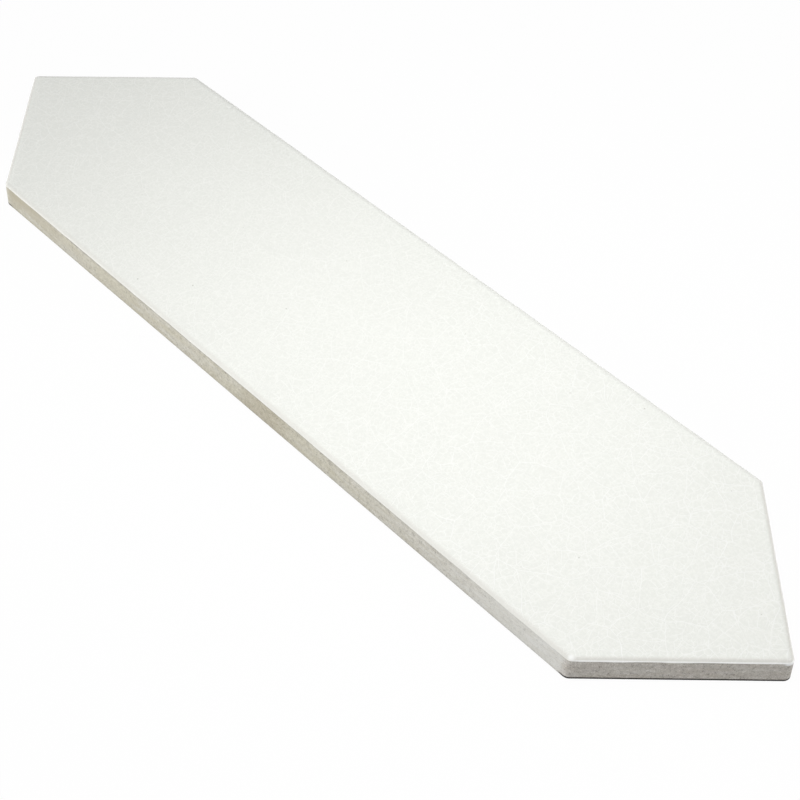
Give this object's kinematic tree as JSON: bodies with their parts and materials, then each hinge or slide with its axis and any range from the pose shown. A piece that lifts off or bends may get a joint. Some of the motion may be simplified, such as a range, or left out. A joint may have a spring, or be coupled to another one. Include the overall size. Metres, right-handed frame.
{
  "type": "picket wall tile",
  "caption": "Long hexagonal picket wall tile with pointed ends, crackle glazed face, bare clay side walls and a keyed back for adhesive.",
  "frame": {"origin": "middle of the back, in the plane of the ribs that the tile lies on", "axes": "+X from point to point, +Y across the two long sides, +Z out of the glazed face"},
  "size_m": [0.3, 0.075, 0.008],
  "materials": {
    "fired_tile": "glossy off-white crackle glaze on the face and rim, bare matt clay on the side walls and back"
  },
  "bodies": {
    "root": {"picket_tile": "fired_tile"}
  },
  "joints": []
}
